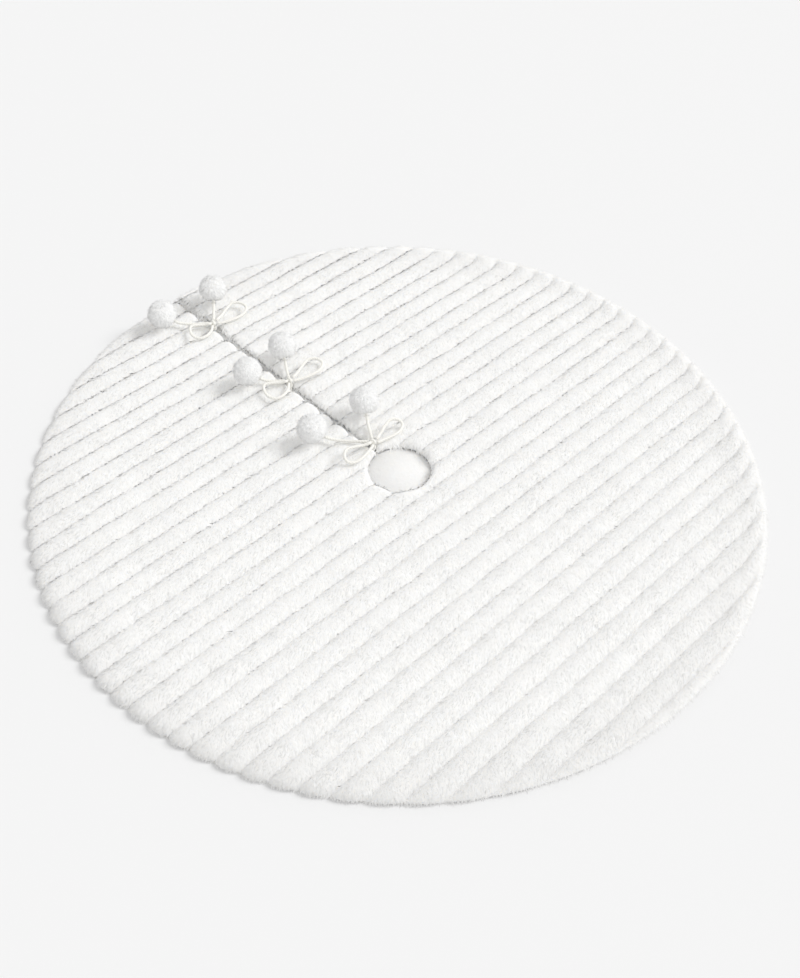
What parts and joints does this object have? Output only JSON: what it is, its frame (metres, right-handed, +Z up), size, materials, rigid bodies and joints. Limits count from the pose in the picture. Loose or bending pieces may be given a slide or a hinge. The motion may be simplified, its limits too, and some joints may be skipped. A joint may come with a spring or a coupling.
{
  "type": "tree skirt",
  "caption": "Round channelled faux-fur tree skirt with a trunk hole and a slit closed by bow ties that end in pompoms.",
  "frame": {"origin": "centre of the disc on the floor, under the middle of the trunk hole", "axes": "+Z up; +Y along the slit from the trunk hole to the rim; +X to the right flap, along the channelled ribs"},
  "size_m": [1.22, 1.2198, 0.0775],
  "materials": {
    "fur": "white cut-pile faux fur in soft parallel channels, matt with a faint sheen",
    "lining": "white plain-weave lining, matt",
    "thread": "white polyester sewing thread, satin",
    "cord": "ivory twisted cotton cord, matt",
    "pompom_fur": "white fluffy long-pile faux fur, matt",
    "stuffing": "white polyester fibre fill, matt"
  },
  "bodies": {
    "skirt": {"fur_face": "fur", "backing": "lining", "edge_seam_thread": "thread", "closing_stitches": "thread", "inner_knot": "cord", "inner_left_bar_tack": "thread", "inner_left_lead": "cord", "inner_right_bar_tack": "thread", "inner_right_lead": "cord", "middle_knot": "cord", "middle_left_bar_tack": "thread", "middle_left_lead": "cord", "middle_right_bar_tack": "thread", "middle_right_lead": "cord", "outer_knot": "cord", "outer_left_bar_tack": "thread", "outer_left_lead": "cord", "outer_right_bar_tack": "thread", "outer_right_lead": "cord"},
    "inner_left_loop": {"inner_left_loop": "cord"},
    "inner_left_tail": {"inner_left_tail": "cord"},
    "inner_left_pompom": {"inner_left_pompom_cover": "pompom_fur", "inner_left_pompom_stuffing": "stuffing", "inner_left_pompom_gather_thread": "thread"},
    "inner_right_loop": {"inner_right_loop": "cord"},
    "inner_right_tail": {"inner_right_tail": "cord"},
    "inner_right_pompom": {"inner_right_pompom_cover": "pompom_fur", "inner_right_pompom_stuffing": "stuffing", "inner_right_pompom_gather_thread": "thread"},
    "middle_left_loop": {"middle_left_loop": "cord"},
    "middle_left_tail": {"middle_left_tail": "cord"},
    "middle_left_pompom": {"middle_left_pompom_cover": "pompom_fur", "middle_left_pompom_stuffing": "stuffing", "middle_left_pompom_gather_thread": "thread"},
    "middle_right_loop": {"middle_right_loop": "cord"},
    "middle_right_tail": {"middle_right_tail": "cord"},
    "middle_right_pompom": {"middle_right_pompom_cover": "pompom_fur", "middle_right_pompom_stuffing": "stuffing", "middle_right_pompom_gather_thread": "thread"},
    "outer_left_loop": {"outer_left_loop": "cord"},
    "outer_left_tail": {"outer_left_tail": "cord"},
    "outer_left_pompom": {"outer_left_pompom_cover": "pompom_fur", "outer_left_pompom_stuffing": "stuffing", "outer_left_pompom_gather_thread": "thread"},
    "outer_right_loop": {"outer_right_loop": "cord"},
    "outer_right_tail": {"outer_right_tail": "cord"},
    "outer_right_pompom": {"outer_right_pompom_cover": "pompom_fur", "outer_right_pompom_stuffing": "stuffing", "outer_right_pompom_gather_thread": "thread"}
  },
  "joints": [
    {"name": "inner_left_loop_lift", "type": "hinge", "parent": "skirt", "child": "inner_left_loop", "pos_m": [0.001, 0.066, 0.024], "axis": [0, 1, 0], "range_deg": [0, 20]},
    {"name": "inner_left_tail_lift", "type": "hinge", "parent": "skirt", "child": "inner_left_tail", "pos_m": [0.001, 0.066, 0.024], "axis": [0.7355, 0.6775, 0], "range_deg": [0, 30]},
    {"name": "inner_left_pompom_swing", "type": "hinge", "parent": "inner_left_tail", "child": "inner_left_pompom", "pos_m": [-0.05317, 0.12481, 0.0294], "axis": [0, 0, 1], "range_deg": [-20, 20]},
    {"name": "inner_right_loop_lift", "type": "hinge", "parent": "skirt", "child": "inner_right_loop", "pos_m": [0.001, 0.066, 0.024], "axis": [0, -1, 0], "range_deg": [0, 20]},
    {"name": "inner_right_tail_lift", "type": "hinge", "parent": "skirt", "child": "inner_right_tail", "pos_m": [0.001, 0.066, 0.024], "axis": [0.842, -0.5394, 0], "range_deg": [0, 30]},
    {"name": "inner_right_pompom_swing", "type": "hinge", "parent": "inner_right_tail", "child": "inner_right_pompom", "pos_m": [0.0294, 0.11033, 0.0294], "axis": [0, 0, -1], "range_deg": [-20, 20]},
    {"name": "middle_left_loop_lift", "type": "hinge", "parent": "skirt", "child": "middle_left_loop", "pos_m": [-0.001, 0.277, 0.024], "axis": [0, 1, 0], "range_deg": [0, 20]},
    {"name": "middle_left_tail_lift", "type": "hinge", "parent": "skirt", "child": "middle_left_tail", "pos_m": [-0.001, 0.277, 0.024], "axis": [0.6575, 0.7534, 0], "range_deg": [0, 30]},
    {"name": "middle_left_pompom_swing", "type": "hinge", "parent": "middle_left_tail", "child": "middle_left_pompom", "pos_m": [-0.0384, 0.30964, 0.0294], "axis": [0, 0, 1], "range_deg": [-20, 20]},
    {"name": "middle_right_loop_lift", "type": "hinge", "parent": "skirt", "child": "middle_right_loop", "pos_m": [-0.001, 0.277, 0.024], "axis": [0, -1, 0], "range_deg": [0, 20]},
    {"name": "middle_right_tail_lift", "type": "hinge", "parent": "skirt", "child": "middle_right_tail", "pos_m": [-0.001, 0.277, 0.024], "axis": [0.8548, -0.519, 0], "range_deg": [0, 30]},
    {"name": "middle_right_pompom_swing", "type": "hinge", "parent": "middle_right_tail", "child": "middle_right_pompom", "pos_m": [0.02087, 0.31303, 0.0294], "axis": [0, 0, -1], "range_deg": [-20, 20]},
    {"name": "outer_left_loop_lift", "type": "hinge", "parent": "skirt", "child": "outer_left_loop", "pos_m": [-0.001, 0.49, 0.024], "axis": [0, 1, 0], "range_deg": [0, 20]},
    {"name": "outer_left_tail_lift", "type": "hinge", "parent": "skirt", "child": "outer_left_tail", "pos_m": [-0.001, 0.49, 0.024], "axis": [0.6562, 0.7546, 0], "range_deg": [0, 30]},
    {"name": "outer_left_pompom_swing", "type": "hinge", "parent": "outer_left_tail", "child": "outer_left_pompom", "pos_m": [-0.05237, 0.53467, 0.0294], "axis": [0, 0, 1], "range_deg": [-20, 20]},
    {"name": "outer_right_loop_lift", "type": "hinge", "parent": "skirt", "child": "outer_right_loop", "pos_m": [-0.001, 0.49, 0.024], "axis": [0, -1, 0], "range_deg": [0, 20]},
    {"name": "outer_right_tail_lift", "type": "hinge", "parent": "skirt", "child": "outer_right_tail", "pos_m": [-0.001, 0.49, 0.024], "axis": [0.7623, -0.6472, 0], "range_deg": [0, 30]},
    {"name": "outer_right_pompom_swing", "type": "hinge", "parent": "outer_right_tail", "child": "outer_right_pompom", "pos_m": [0.02888, 0.52519, 0.0294], "axis": [0, 0, -1], "range_deg": [-20, 20]}
  ]
}
